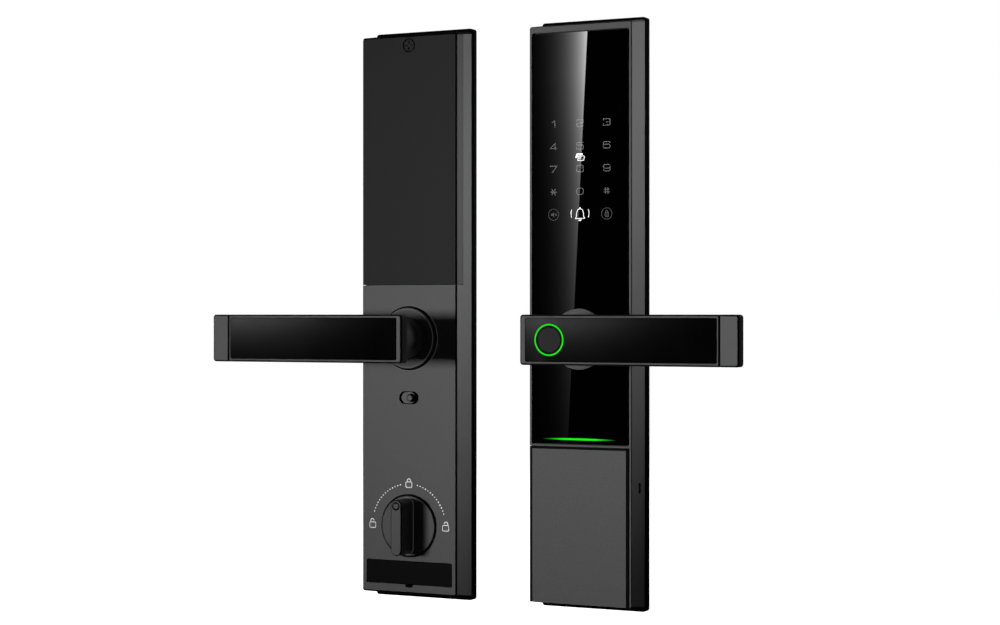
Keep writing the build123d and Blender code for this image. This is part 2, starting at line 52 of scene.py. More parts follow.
NOISE_RANGE = (0.3, 0.7)
EDGE_TURN = (0.02, 0.35)  # how far a surface turns, 1 - cosine, where an edge starts and is full
FACES_FRONT, FACES_BACK, FACES_RIGHT = -0.95, 0.9, 0.05  # limits of the normal's Y, Y and X
WHITE = (1.0, 1.0, 1.0, 1.0)
GREEN = (0.0, 1.0, 0.0, 1.0)


def tree_math(tree, operation, a, b=None):
    """A math node on sockets or numbers a and b, and its result."""
    node = tree.nodes.new("ShaderNodeMath")
    node.operation = operation
    for socket, value in zip(node.inputs, (a, b)):
        if value is None:
            continue
        if isinstance(value, (int, float)):
            socket.default_value = value
        else:
            tree.links.new(value, socket)
    return node.outputs["Value"]


class Look:
    """One procedural material and short ways of adding nodes to it."""

    def __init__(self, name):
        self.material = bpy.data.materials.new(name)
        self.material.use_nodes = True
        self.tree = self.material.node_tree
        self.surface = self.tree.nodes["Principled BSDF"]
        coordinates = self.add("ShaderNodeTexCoord").outputs
        self.place, self.facing = coordinates["Object"], coordinates["Normal"]

    def add(self, kind, **settings):
        node = self.tree.nodes.new(kind)
        for key, value in settings.items():
            setattr(node, key, value)
        return node

    def link(self, source, target):
        self.tree.links.new(source, target)

    def set(self, **values):
        """Numbers and colours that are the same all over the surface."""
        for key, value in values.items():
            self.surface.inputs[key.replace("_", " ")].default_value = value

    def noise(self, feature_mm, detail=3.0, rough=0.55, stretch=None):
        """Noise from 0 to 1 whose features are about feature_mm across."""
        source = self.place
        if stretch:
            mapping = self.add("ShaderNodeMapping")
            mapping.inputs["Scale"].default_value = stretch
            self.link(source, mapping.inputs["Vector"])
            source = mapping.outputs["Vector"]
        node = self.add("ShaderNodeTexNoise")
        node.inputs["Scale"].default_value = 1.0 / (feature_mm * MM)
        node.inputs["Detail"].default_value = detail
        node.inputs["Roughness"].default_value = rough
        self.link(source, node.inputs["Vector"])
        return node.outputs["Fac"]

    def remap(self, value, low, high, to_low, to_high):
        node = self.add("ShaderNodeMapRange")
        for key, number in (
            ("From Min", low),
            ("From Max", high),
            ("To Min", to_low),
            ("To Max", to_high),
        ):
            node.inputs[key].default_value = number
        self.link(value, node.inputs["Value"])
        return node.outputs["Result"]

    def spread(self, noise, to_low, to_high):
        """Noise, which seldom leaves 0.3 to 0.7, stretched to run from to_low to to_high."""
        return self.remap(noise, *NOISE_RANGE, to_low, to_high)

    def math(self, operation, a, b=None):
        return tree_math(self.tree, operation, a, b)

    def product(self, first, *others):
        """The product of sockets and numbers."""
        for other in others:
            first = self.math("MULTIPLY", first, other)
        return first

    def mix(self, factor, a, b):
        """Colour between a and b."""
        node = self.add("ShaderNodeMix", data_type="RGBA")
        node.inputs[0].default_value = 0.5
        self.link(factor, node.inputs[0])
        for socket, value in ((node.inputs[6], a), (node.inputs[7], b)):
            if isinstance(value, tuple):
                socket.default_value = value
            else:
                self.link(value, socket)
        return node.outputs[2]

    def edges(self, radius_mm):
        """About 1 where the surface turns within radius_mm, 0 on flat faces."""
        bevel = self.add("ShaderNodeBevel", samples=4)
        bevel.inputs["Radius"].default_value = radius_mm * MM
        geometry = self.add("ShaderNodeNewGeometry")
        dot = self.add("ShaderNodeVectorMath", operation="DOT_PRODUCT")
        self.link(bevel.outputs["Normal"], dot.inputs[0])
        self.link(geometry.outputs["Normal"], dot.inputs[1])
        turned = self.math("SUBTRACT", 1.0, dot.outputs["Value"])
        return self.remap(turned, *EDGE_TURN, 0.0, 1.0)

    def axis(self, vector, name):
        split = self.add("ShaderNodeSeparateXYZ")
        self.link(vector, split.inputs["Vector"])
        return split.outputs[name]

    def between(self, value, low, high):
        above, below = self.math("GREATER_THAN", value, low), self.math("LESS_THAN", value, high)
        return self.product(above, below)

    def turned(self, low, high):
        """1 where the facing lies from low to high: 1 faces the front or back, 0 the sides."""
        return self.between(self.math("ABSOLUTE", self.axis(self.facing, "Y")), low, high)

    def recessed(self, low_mm, high_mm):
        """1 on the front-facing floors that lie between two depths behind the frame's origin."""
        floor = self.math("LESS_THAN", self.axis(self.facing, "Y"), FACES_FRONT)
        depth = self.between(self.axis(self.place, "Y"), low_mm * MM, high_mm * MM)
        return self.product(floor, depth)

    def bump(self, height, strength, distance_mm):
        node = self.add("ShaderNodeBump")
        node.inputs["Strength"].default_value = strength
        node.inputs["Distance"].default_value = distance_mm * MM
        self.link(height, node.inputs["Height"])
        self.link(node.outputs["Normal"], self.surface.inputs["Normal"])

    def colour(self, output):
        self.link(output, self.surface.inputs["Base Color"])

    def roughness(self, output):
        self.link(output, self.surface.inputs["Roughness"])


def grey(level, tint=(1.0, 1.0, 1.0)):
    return (level * tint[0], level * tint[1], level * tint[2], 1.0)


def scaled(colour, factor):
    """The colour made lighter or darker, with no channel past 1."""
    return tuple(min(1.0, c * factor) for c in colour[:3]) + (1.0,)


# ---------------------------------------------------------------- finishes

# ranges of facing for Look.turned, where the coats paint shade on edges and sides
SIDES = (-1.0, 0.05)
EDGES = (0.05, 0.995)
EDGES_AND_SIDES = (-1.0, 0.995)

GLASS_IOR = 1.52


def powder_coat(
    name,
    level,
    rough=0.5,
    grain=0.22,
    bump=0.10,
    edge=1.5,
    tint=(1.0, 1.0, 1.02),
    specular=0.35,
    turned=None,
    dark=0.004,
    right=None,
    recess=None,
    side=None,
    back=None,
):
    """Fine satin powder coat: speckled grain, soft mottling, and edges painted a little lighter as
    a highlight.

    turned is the range of facings, as for Look.turned, painted near black as shade on the edges,
    and dark is the level of that painted shade; right is a lighter painted shade on edges that face
    right, where light falls. recess is the range of depths, in mm, whose floors are painted dark
    as shade. side is the coat's level on side faces: the battery cover's front carries a darker
    film, while on the levers and end caps the darker side level is painted shade. back is its
    level on faces that lie against the door.
    """
    look = Look(name)
    fine = look.noise(0.55, detail=2.0)
    coarse = look.noise(9.0, detail=2.0)
    speckle = look.spread(fine, 0.0, 1.0)

    def speckled(middle, swing):
        return look.mix(speckle, grey(middle * (1 - swing), tint), grey(middle * (1 + swing), tint))

    coat = speckled(level, grain)
    coat = look.mix(look.spread(coarse, 0.0, 0.35), coat, grey(level * 0.93, tint))
    # edges painted lighter: a painted highlight along every edge
    coat = look.mix(look.product(look.edges(0.45), 0.6), coat, grey(level * edge, tint))
    # side faces: the battery cover's own lighter sides; on the levers and end caps a painted shade
    # that keeps their ends dark
    if side:
        coat = look.mix(look.turned(*SIDES), coat, grey(side, tint))
    # edges painted near black: painted shade, the dark the edges show where no light reaches them
    if turned:
        coat = look.mix(look.turned(*turned), coat, grey(dark, tint))
    # edges that face right painted a lighter shade, where light falls on them
    if right:
        faces_right = look.math("GREATER_THAN", look.axis(look.facing, "X"), FACES_RIGHT)
        coat = look.mix(look.product(faces_right, look.turned(*turned)), coat, grey(right, tint))
    # recess floors painted dark: painted shade
    if recess:
        coat = look.mix(look.recessed(*recess), coat, grey(dark, tint))
    if back:
        faces_back = look.math("GREATER_THAN", look.axis(look.facing, "Y"), FACES_BACK)
        coat = look.mix(faces_back, coat, speckled(back, 0.15))
    look.colour(coat)
    look.roughness(look.spread(fine, rough - 0.06, rough + 0.06))
    look.bump(fine, bump, 0.05)
    look.set(Specular_IOR_Level=specular)
    return look.material


def gloss_black(name, level, rough, ior=1.5, ripple=0.012):
    """Polished black face: a clear hard skin with faint smears and hair-fine scratches."""
    look = Look(name)
    smear = look.noise(26.0, detail=3.0, rough=0.6)
    scratch = look.noise(0.35, detail=1.0, stretch=(1.0, 1.0, 0.04))
    depth = look.spread(smear, 0.0, 1.0)
    look.colour(look.mix(depth, grey(level * 0.7), grey(level * 1.3)))
    scratched = look.remap(scratch, 0.62, 0.72, 0.0, 0.02)
    marks = look.product(scratched, look.remap(smear, 0.45, 0.65, 0.0, 1.0))
    look.roughness(look.math("ADD", marks, look.spread(smear, rough * 0.8, rough * 1.2)))
    look.bump(look.noise(14.0, detail=1.0), ripple, 0.02)
    look.set(IOR=ior)
    return look.material


def moulded(name, base, rough=0.55, grain_mm=0.4, bump=0.12, specular=0.4):
    """Spark-textured moulded plastic or rubber."""
    look = Look(name)
    fine = look.noise(grain_mm, detail=3.0, rough=0.7)
    wide = look.noise(12.0, detail=2.0)
    darker = scaled(base, 0.82)
    skin = look.mix(look.spread(fine, 0.0, 1.0), darker, scaled(base, 1.15))
    look.colour(look.mix(look.remap(wide, 0.35, 0.65, 0.0, 0.3), skin, darker))
    look.roughness(look.spread(fine, rough - 0.08, rough + 0.08))
    look.bump(fine, bump, 0.05)
    look.set(Specular_IOR_Level=specular)
    return look.material


def bare_metal(name, base, rough=0.3, brush=(1.0, 1.0, 0.05), bump=0.05):
    """Turned or drawn metal: fine directional marks, cloudy tarnish and brighter edges."""
    look = Look(name)
    marks = look.noise(0.25, detail=2.0, stretch=brush)
    cloud = look.noise(5.0, detail=3.0)
    dull = scaled(base, 0.62)
    skin = look.mix(look.spread(marks, 0.0, 0.5), base, dull)
    skin = look.mix(look.remap(cloud, 0.45, 0.7, 0.0, 0.5), skin, dull)
    look.colour(look.mix(look.product(look.edges(0.25), 0.5), skin, scaled(base, 1.25)))
    look.roughness(look.spread(marks, rough - 0.08, rough + 0.1))
    look.bump(marks, bump, 0.02)
    look.set(Metallic=0.5)
    return look.material


def glowing(name, colour, strength, fade=None):
    """A lit diffuser. fade is a function of the look that gives 0 to 1 over the surface."""
    look = Look(name)
    flicker = look.spread(look.noise(2.2, detail=1.0), 0.94, 1.0)
    look.colour(look.mix(flicker, grey(0.002), grey(0.006)))
    level = look.product(flicker, strength)
    if fade:
        level = look.product(level, fade(look))
    look.set(Emission_Color=colour, Roughness=0.3)
    look.link(level, look.surface.inputs["Emission Strength"])
    look.bump(look.noise(0.6, detail=1.0), 0.04, 0.02)
    return look.material


def ink(name, level, strength=0.0, under_glass=True):
    """Printed or lit legend, and the thin rings that paint highlights and shade on edges: dense ink
    with a slightly uneven edge of the dots it is printed in.
    """
    look = Look(name)
    dots = look.spread(look.noise(0.18, detail=1.0), 0.0, 1.0)
    look.colour(look.mix(dots, grey(level * 0.88), grey(level)))
    if under_glass:
        look.roughness(look.remap(dots, 0.0, 1.0, 0.0045, 0.0055))
        look.set(IOR=GLASS_IOR)
    else:
        look.roughness(look.remap(dots, 0.0, 1.0, 0.5, 0.65))
        look.bump(dots, 0.05, 0.01)
    if strength:
        look.set(Emission_Color=WHITE)
        lit = look.remap(dots, 0.0, 1.0, strength * 0.9, strength)
        look.link(lit, look.surface.inputs["Emission Strength"])
    return look.material


def circuit(name):
    """Solder mask with tracks under it, pads and a fine weave."""
    look = Look(name)
    tracks = look.add("ShaderNodeTexBrick", offset=0.5)
    for key, value in (
        ("Scale", 260.0),
        ("Mortar Size", 0.035),
        ("Brick Width", 1.4),
        ("Row Height", 0.4),
    ):
        tracks.inputs[key].default_value = value
    turn = look.add("ShaderNodeMapping")
    turn.inputs["Rotation"].default_value = (math.radians(90), 0, 0)
    look.link(look.place, turn.inputs["Vector"])
    look.link(turn.outputs["Vector"], tracks.inputs["Vector"])
    weave = look.noise(0.5, detail=2.0)
    low_green, high_green, track_green = (
        (0.004, 0.05, 0.02, 1.0),
        (0.008, 0.09, 0.035, 1.0),
        (0.02, 0.16, 0.06, 1.0),
    )
    mask = look.mix(look.spread(weave, 0.0, 1.0), low_green, high_green)
    look.colour(look.mix(tracks.outputs["Fac"], mask, track_green))
    look.roughness(look.spread(weave, 0.28, 0.4))
    look.bump(tracks.outputs["Fac"], 0.25, 0.04)
    return look.material


def wrapped_cell(name):
    """Shrink-wrapped cell: a dark sleeve with a coloured band round one end and bare ends."""
    look = Look(name)
    band = look.add(
        "ShaderNodeTexWave", wave_type="BANDS", bands_direction="Z", wave_profile="SAW"
    )
    band.inputs["Scale"].default_value = 6.5
    band.inputs["Distortion"].default_value = 0.0
    look.link(look.place, band.inputs["Vector"])
    cloud = look.spread(look.noise(3.0), 0.0, 1.0)
    sleeve = look.mix(cloud, (0.012, 0.014, 0.02, 1.0), (0.02, 0.022, 0.03, 1.0))
    stripe = look.remap(band.outputs["Fac"], 0.72, 0.74, 0.0, 1.0)
    look.colour(look.mix(stripe, sleeve, (0.45, 0.22, 0.06, 1.0)))
    look.roughness(look.spread(look.noise(1.2), 0.22, 0.34))
    look.bump(look.noise(1.5, detail=2.0), 0.08, 0.05)
    look.set(Coat_Weight=0.4, Coat_Roughness=0.1)
    return look.material


ring_fade_mm = (8.95, 9.1)


def ring_fade(look):
    """The light ring glows at its outer lip only, past a radius round the lever's axis."""
    flat = look.add("ShaderNodeVectorMath", operation="MULTIPLY")
    flat.inputs[1].default_value = (1.0, 0.0, 1.0)
    look.link(look.place, flat.inputs[0])
    reach = look.add("ShaderNodeVectorMath", operation="LENGTH")
    look.link(flat.outputs["Vector"], reach.inputs[0])
    low, high = (radius * MM for radius in ring_fade_mm)
    return look.remap(reach.outputs["Value"], low, high, 0.0, 1.0)


# turned and recess paint shade on the housing's edges and recess floors
HOUSING = dict(level=0.088, turned=EDGES, recess=(-26.7, -20.0))

FINISH = {
    "housing_coat": powder_coat("Housing_coat", **HOUSING),
    "battery_cover_coat": powder_coat(
        "Battery_cover_coat",
        0.0222,
        rough=0.55,
        grain=0.03,
        bump=0.05,
        edge=1.1,
        specular=0.2,
        turned=EDGES,
        recess=(-26.88, -25.0),
        side=0.057,
    ),
    # the key cover's bevels and sides are painted near black as shade
    "key_cover_coat": powder_coat("Key_cover_coat", 0.085, turned=(-1.0, 0.992)),
    "lever_coat": powder_coat(
        "Lever_coat",
        0.075,
        rough=0.38,
        grain=0.08,
        edge=1.7,
        specular=0.5,
        turned=EDGES,
        recess=(-72.4, -66.0),
        side=0.02,
    ),
    "end_cap_coat": powder_coat(
        "End_cap_coat", 0.09, rough=0.45, grain=0.1, edge=1.5, turned=EDGES, side=0.016
    ),
    "rose_coat": powder_coat("Rose_coat", 0.074, rough=0.42, grain=0.08, edge=1.6),
    "thumbturn_coat": powder_coat(
        "Thumbturn_coat",
        0.078,
        rough=0.42,
        grain=0.09,
        edge=1.8,
        turned=EDGES,
        recess=(-44.2, -42.0),
    ),
    "slider_coat": powder_coat(
        "Slider_coat", 0.1, rough=0.45, turned=EDGES_AND_SIDES, recess=(-26.1, -20.0)
    ),
    "inlay_gloss": gloss_black("Inlay_gloss_black", 0.0012, 0.05),
    "panel_glass": gloss_black("Panel_glass_black", 0.0003, 0.005, GLASS_IOR, ripple=0.002),
    "access_cover_black": moulded(
        "Access_cover_black", grey(0.006), rough=0.6, grain_mm=0.5, bump=0.08, specular=0.1
    ),
    "tray_black": powder_coat(
        "Tray_black", 0.0016, rough=0.5, grain=0.2, edge=1.6, specular=0.05, back=0.03
    ),
    "gasket_rubber": powder_coat(
        "Gasket_rubber", 0.008, rough=0.75, grain=0.3, edge=1.1, specular=0.15, back=0.016
    ),
    "sensor_face": powder_coat(
        "Sensor_face",
        0.02,
        rough=0.4,
        grain=0.05,
        bump=0.05,
        edge=1.2,
        specular=0.3,
        turned=EDGES_AND_SIDES,
        recess=(-72.2, -60.0),
    ),
    "ring_light": glowing("Ring_light_green", GREEN, 0.9, ring_fade),
    "line_light": glowing("Line_light_green", GREEN, 0.8),
    "circuit_board": circuit("Circuit_board"),
    "antenna_copper": bare_metal("Antenna_copper", (0.72, 0.35, 0.2, 1.0), rough=0.35),
    "speaker_body": moulded("Speaker_body", grey(0.02), rough=0.5),
    "holder_plastic": moulded("Holder_plastic", grey(0.02), rough=0.5),
    "cell_wrap": wrapped_cell("Cell_wrap"),
    "contact_plate": bare_metal("Contact_nickel", (0.62, 0.6, 0.56, 1.0), rough=0.28),
    "spring_steel": bare_metal("Spring_steel", (0.5, 0.5, 0.51, 1.0), rough=0.3),
    "bushing_bronze": bare_metal("Bushing_bronze", (0.42, 0.28, 0.14, 1.0), rough=0.4),
    "bar_steel": bare_metal("Bar_zinc_steel", (0.55, 0.55, 0.54, 1.0), rough=0.34),
    "screw_steel": bare_metal("Screw_black_steel", (0.06, 0.06, 0.062, 1.0), rough=0.4),
    "cylinder_brass": bare_metal("Cylinder_brass", (0.66, 0.5, 0.26, 1.0), rough=0.3),
}

# the cover screw's head is coated like the cover round it; on the outer unit the painted edge shade
# is lighter, and lighter still on edges that face right where light falls
NODE_FINISH = {
    "cover_screw": FINISH["battery_cover_coat"],
    "ext_housing": powder_coat("Outer_housing_coat", dark=0.02, right=0.035, **HOUSING),
}

for name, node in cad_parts.items():
    for held in node.material_slots:
        slot_name = held.material.name.split(".")[0]
        held.material = NODE_FINISH.get(name, FINISH[slot_name])

# ---------------------------------------------------------------- printed strokes

ink_thick = 0.03 * MM
MITRE_LIMIT = 0.45  # the smallest cosine that still widens a stroke at a sharp turn


class Print:
    """Flat raised strokes and fills in one X-Z plane, facing -Y, collected into one mesh."""

    def __init__(self, centre, face_y):
        self.centre, self.face_y = centre, face_y
        self.points, self.faces = [], []

    def _vertex(self, x, z, y):
        self.points.append((self.centre[0] + x * MM, y, self.centre[1] + z * MM))
        return len(self.points) - 1

    def _solid(self, outline_faces, loops, flat):
        """flat: (x, z) points; outline_faces: front faces by index; loops: closed borders."""
        front = [self._vertex(x, z, self.face_y - ink_thick) for x, z in flat]
        back = [self._vertex(x, z, self.face_y) for x, z in flat]
        for face in outline_faces:
            self.faces.append([front[i] for i in face])
            self.faces.append([back[i] for i in reversed(face)])
        for loop in loops:
            for a, b in zip(loop, loop[1:] + loop[:1]):
                self.faces.append([front[a], back[a], back[b], front[b]])

    def fill(self, outline):
        """A flat shape inside outline, in mm."""
        border = list(range(len(outline)))
        self._solid([border], [border], outline)

    def stroke(self, path, width, closed=False, caps=6):
        """A stroke of one width along path, in mm, with round ends."""
        n = len(path)
        left, right = [], []
        for i, (x, z) in enumerate(path):
            before = path[i - 1] if closed or i > 0 else None
            after = path[(i + 1) % n] if closed or i < n - 1 else None
            directions = []
            if before is not None:
                directions.append(Vector((x - before[0], z - before[1])).normalized())
            if after is not None:
                directions.append(Vector((after[0] - x, after[1] - z)).normalized())
            along = sum(directions, Vector((0.0, 0.0))).normalized()
            across = Vector((-along.y, along.x))
            first = Vector((-directions[0].y, directions[0].x))
            reach = width / 2 / max(MITRE_LIMIT, across.dot(first))
            left.append((x + across.x * reach, z + across.y * reach))
            right.append((x - across.x * reach, z - across.y * reach))
        flat = left + right
        faces = []
        spans = n if closed else n - 1
        for i in range(spans):
            j = (i + 1) % n
            faces.append([n + i, n + j, j, i])
        if closed:
            loops = [list(range(n)), [n + i for i in reversed(range(n))]]
        else:
            ends = []
            for at, inward in ((n - 1, -1), (0, 1)):
                x, z = path[at]
                step = Vector((x - path[at + inward][0], z - path[at + inward][1])).normalized()
                start = math.atan2(step.y, step.x)
                cap = []
                for k in range(1, caps):
                    turn = start + math.pi / 2 - math.pi * k / caps
                    cap.append(len(flat))
                    flat.append((x + math.cos(turn) * width / 2, z + math.sin(turn) * width / 2))
                ends.append(cap)
            faces.append([n - 1] + ends[0] + [2 * n - 1])
            faces.append([n] + ends[1] + [0])
            loops = [list(range(n)) + ends[0] + [n + i for i in reversed(range(n))] + ends[1]]
        self._solid(faces, loops, flat)

    def ring(self, radius, width, steps):
        self.stroke(circle(0.0, 0.0, radius, steps), width, True)

    def piece(self, name, material, body="lock_units"):
        mesh = bpy.data.meshes.new(name)
        mesh.from_pydata(self.points, [], self.faces)
        work = bmesh.new()
        work.from_mesh(mesh)
        bmesh.ops.recalc_face_normals(work, faces=work.faces)
        work.to_mesh(mesh)
        work.free()
        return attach(placed(name, mesh, material), body)


def placed(name, mesh, material):
    """An object of the mesh and its one material, in the scene."""
    made = bpy.data.objects.new(name, mesh)
    bpy.context.collection.objects.link(made)
    mesh.materials.append(material)
    return made


def arc(x, z, radius_x, radius_z, start, end, steps=14):
    """Points on an ellipse from start to end, in degrees, 0 along +X and 90 up."""
    angles = [math.radians(start + (end - start) * k / steps) for k in range(steps + 1)]
    return [(x + radius_x * math.cos(a), z + radius_z * math.sin(a)) for a in angles]


def circle(x, z, radius, steps):
    return arc(x, z, radius, radius, 0, 360, steps)[:-1]


def rounded(corners, radius, closed=False, steps=6):
    """The path through corners with each turn rounded off."""
    out = []
    n = len(corners)
    for i, corner in enumerate(corners):
        if not closed and i in (0, n - 1):
            out.append(corner)
            continue
        here = Vector(corner)
        to_last, to_next = Vector(corners[i - 1]) - here, Vector(corners[(i + 1) % n]) - here
        angle = to_last.angle(to_next)
        longest_cut = 0.49 * min(to_last.length, to_next.length)
        cut = min(radius / math.tan(angle / 2), longest_cut)
        a, b = here + to_last.normalized() * cut, here + to_next.normalized() * cut
        for k in range(steps + 1):
            t = k / steps
            p = a * (1 - t) ** 2 + here * 2 * t * (1 - t) + b * t**2
            out.append((p.x, p.y))
    return out


def shifted(path, x, z):
    return [(x + px, z + pz) for px, pz in path]


# ---------------------------------------------------------------- keypad legends

DIGIT_W, DIGIT_H, DIGIT_LINE = 2.35, 2.05, 0.45  # half width, half height and stroke, in mm
LOOP = [(-DIGIT_W, -DIGIT_H), (DIGIT_W, -DIGIT_H), (DIGIT_W, DIGIT_H), (-DIGIT_W, DIGIT_H)]


def digit_paths(sign):
    """(path, closed) strokes of one keypad sign in a wide, square-shouldered hand."""
    w, h = DIGIT_W, DIGIT_H
    if sign == "0":
        return [(rounded(LOOP, 1.75, True), True)]
    if sign == "1":
        return [([(-1.0, h - 1.15), (0.9, h), (0.9, -h)], False)]
    if sign == "2":
        corners = [(-w, h - 1.15), (-w, h), (w, h), (w, 0.12), (-w, -0.12), (-w, -h), (w, -h)]
        return [(rounded(corners, 1.15), False)]
    if sign == "3":
        upper = [(-w, h - 0.95), (-w, h), (w, h), (w, 0.05), (-0.3, 0.05)]
        lower = [(w - 1.6, 0.05), (w, 0.05), (w, -h), (-w, -h), (-w, -h + 0.95)]
        return [(rounded(upper, 1.15), False), (rounded(lower, 1.15), False)]
    if sign == "4":
        return [([(1.15, -h), (1.15, h), (-w, -1.15), (w, -1.15)], False)]
    if sign == "5":
        corners = [(w - 0.1, h), (-w + 0.1, h), (-w, 0.35), (w, 0.5)]
        corners += [(w, -h), (-w, -h), (-w, -h + 0.9)]
        return [(rounded(corners, 1.0), False)]
    if sign == "6":
        bowl = [(-w, -h), (w, -h), (w, 0.35), (-w, 0.35)]
        tail = [(w - 0.1, h - 0.8), (w - 0.5, h), (-w, h), (-w, -0.9)]
        return [(rounded(bowl, 1.15, True), True), (rounded(tail, 1.6), False)]
    if sign == "7":
        return [([(-w, h), (w, h), (-0.9, -h)], False)]
    if sign == "8":
        upper = [(-w + 0.1, 0.12), (w - 0.1, 0.12), (w - 0.1, h), (-w + 0.1, h)]
        lower = [(-w, -h), (w, -h), (w, 0.12), (-w, 0.12)]
        return [(rounded(upper, 1.05, True), True), (rounded(lower, 1.15, True), True)]
    if sign == "9":
        return [([(-x, -z) for x, z in path], closed) for path, closed in digit_paths("6")]
    if sign == "*":
        arm = 2.2
        tips = [(arm * math.cos(a), arm * math.sin(a)) for a in map(math.radians, (0, 55, 125))]
        return [([(-x, -z), (x, z)], False) for x, z in tips]
    out, gap = 1.85, 0.85
    bars = []
    for side in (-gap, gap):
        bars += [([(side, -out), (side, out)], False), ([(-out, side), (out, side)], False)]
    return bars


digit_step = 18.65
keypad_rows = ((137.75, "123"), (123.25, "456"), (108.75, "789"), (94.25, "*0#"))
icon_row_z = 79.7
icon_ring_r, icon_line = 3.6, 0.42
glass_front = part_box("ext_glass_panel")[0].y

digits = Print((0.0, 0.0), glass_front)
for row_z, signs in keypad_rows:
    for column, sign in enumerate(signs):
        for path, closed in digit_paths(sign):
            digits.stroke(shifted(path, (column - 1) * digit_step, row_z), DIGIT_LINE, closed)

# mute sign on the left, key-ring shield sign on the right, each in a thin ring
faint = Print((0.0, icon_row_z * MM), glass_front)
for side in (-1, 1):
    faint.stroke(circle(side * digit_step, 0.0, icon_ring_r, 40), 0.34, True)
speaker = [(-1.9, -0.55), (-1.0, -0.55), (0.35, -1.75), (0.35, 1.75), (-1.0, 0.55), (-1.9, 0.55)]
faint.fill(shifted(speaker, -digit_step, 0.0))
for rise in (-0.62, 0.62):
    faint.stroke(shifted([(1.1, -rise), (2.3, rise)], -digit_step, 0.0), 0.36)
guard = [(-1.15, -2.1), (1.15, -2.1), (1.15, 0.75), (-1.15, 0.75)]
faint.stroke(shifted(rounded(guard, 0.5, True), digit_step, 0.0), icon_line, True)
faint.stroke(shifted(arc(0, 0.85, 0.8, 1.3, 180, 0, 10), digit_step, 0.0), 0.4)
for level in (-1.35, -0.35):
    faint.stroke(shifted([(-0.5, level), (0.5, level)], digit_step, 0.0), 0.4)

# doorbell, with a sound wave on each side
bell = Print((0.0, icon_row_z * MM), glass_front)
right_flank = [(1.5, 2.95), (2.35, 1.2), (2.5, -1.7), (3.55, -2.75)]
flare = [(-x, z) for x, z in right_flank[::-1]] + [(0.0, 3.45)] + right_flank
bell.stroke(rounded(flare, 1.1, True), icon_line, True)
bell.stroke([(0.0, 3.6), (0.0, 4.15)], 0.75)
bell.fill(arc(0.0, -3.45, 1.15, 1.0, 180, 360, 10))
wave_half_angle = 26
for side in (-1, 1):
    middle, swing = (0 if side > 0 else 180), wave_half_angle * side
    bell.stroke(arc(side * 2.0, 0.35, 4.3, 5.4, middle - swing, middle + swing, 10), icon_line)

# access card: one card filled, the one behind it outlined
card_z = 116.1
card = Print((0.0, card_z * MM), glass_front)
solid_card = [(-3.3, -0.5), (-2.4, 2.3), (2.1, 2.3), (1.8, 1.3), (-1.45, 1.3), (-1.95, -0.5)]
open_card = [(-1.8, -2.2), (2.4, -2.25), (3.3, 0.65), (-1.05, 0.65)]
card.fill(rounded(solid_card, 0.45, True)[::-1])
card.stroke(rounded(open_card, 0.7, True), icon_line, True)
card.stroke(arc(0.0, -0.75, 0.7, 0.65, 0, 360, 12)[:-1], 0.32, True)

bright_ink = ink("Legend_lit_white", 0.6, 0.75)
digits.piece("keypad_digits", ink("Legend_grey", 0.13, 0.032))
faint.piece("keypad_side_icons", ink("Legend_faint", 0.07, 0.015))
bell.piece("keypad_bell_icon", bright_ink)
card.piece("keypad_card_icon", bright_ink)

# ---------------------------------------------------------------- light line on the glass

line_low, line_high, line_z, line_thick = -26.9, 25.6, -63.9, 1.3
line_middle, line_half = (line_low + line_high) / 2, (line_high - line_low) / 2
full_part, fade_power, lens_power = 0.45, 1.4, 0.75


def line_fade(look):
    """Full in the middle and fading out towards both ends."""
    off = look.math("SUBTRACT", look.axis(look.place, "X"), line_middle * MM)
    fall = look.remap(
        look.math("ABSOLUTE", off), line_half * MM * full_part, line_half * MM, 1.0, 0.0
    )
    return look.math("POWER", fall, fade_power)


line = Print((0.0, line_z * MM), glass_front)
lens, lens_steps = [], 40
for sign in (-1, 1):
    for k in range(lens_steps):
        t = -1 + 2 * k / lens_steps
        bow = line_thick / 2 * (1 - t * t) ** lens_power
        lens.append((line_middle - sign * t * line_half, -sign * bow))
line.fill(lens)
light_line = line.piece("light_line", glowing("Light_line_green", GREEN, 1.0, line_fade))

# ---------------------------------------------------------------- turn marks on the inside unit

turn_x, turn_z, mark_radius = -125.0, -124.4, 27.7
dots_each_side, dot_radius = 14, 0.48
first_dot, last_dot = 13.5, 71.5  # degrees from upright
front_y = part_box("int_housing")[0].y
marks = Print((turn_x * MM, turn_z * MM), front_y)
keys = Print((turn_x * MM, turn_z * MM), front_y)
for side in (-1, 1):
    for k in range(dots_each_side):
        lean = first_dot + (last_dot - first_dot) * k / (dots_each_side - 1)
        angle = math.radians(90 - side * lean)
        x, z = mark_radius * math.cos(angle), mark_radius * math.sin(angle)
        marks.fill(circle(x, z, dot_radius, 12))


def padlock(x, z, lean):
    """A padlock sign: lean 0 is shut, -1 or 1 is open with its bow standing on that side."""
    z += 0.6
    body = rounded([(-2.3, -2.9), (2.3, -2.9), (2.3, 0.8), (-2.3, 0.8)], 0.9, True)
    marks.stroke(shifted(body, x, z), 0.55, True)
    key = [(-0.45, -0.45), (0.45, -0.45), (0.45, 0.45), (-0.45, 0.45)]
    for dx in (-0.75, 0.75):
        for dz in (-1.75, -0.35):
            keys.fill(shifted(key, x + dx, z + dz))
    if lean:
        start, end = (0, 165) if lean > 0 else (180, 15)
        bow = [(lean * 1.6, 0.9)] + arc(lean * 0.3, 1.6, 1.3, 1.4, start, end, 10)
    else:
        bow = [(1.35, 0.9)] + arc(0.0, 1.3, 1.35, 1.5, 0, 180, 12) + [(-1.35, 0.9)]
    marks.stroke(shifted(bow, x, z), 0.6)


padlock(0.0, mark_radius, 0)
padlock(-mark_radius, 0.0, -1)
padlock(mark_radius, 0.0, 1)
marks.piece("turn_marks", ink("Turn_mark_grey", 0.85, under_glass=False))
keys.piece("turn_mark_keys", ink("Turn_mark_dim", 0.15, under_glass=False))
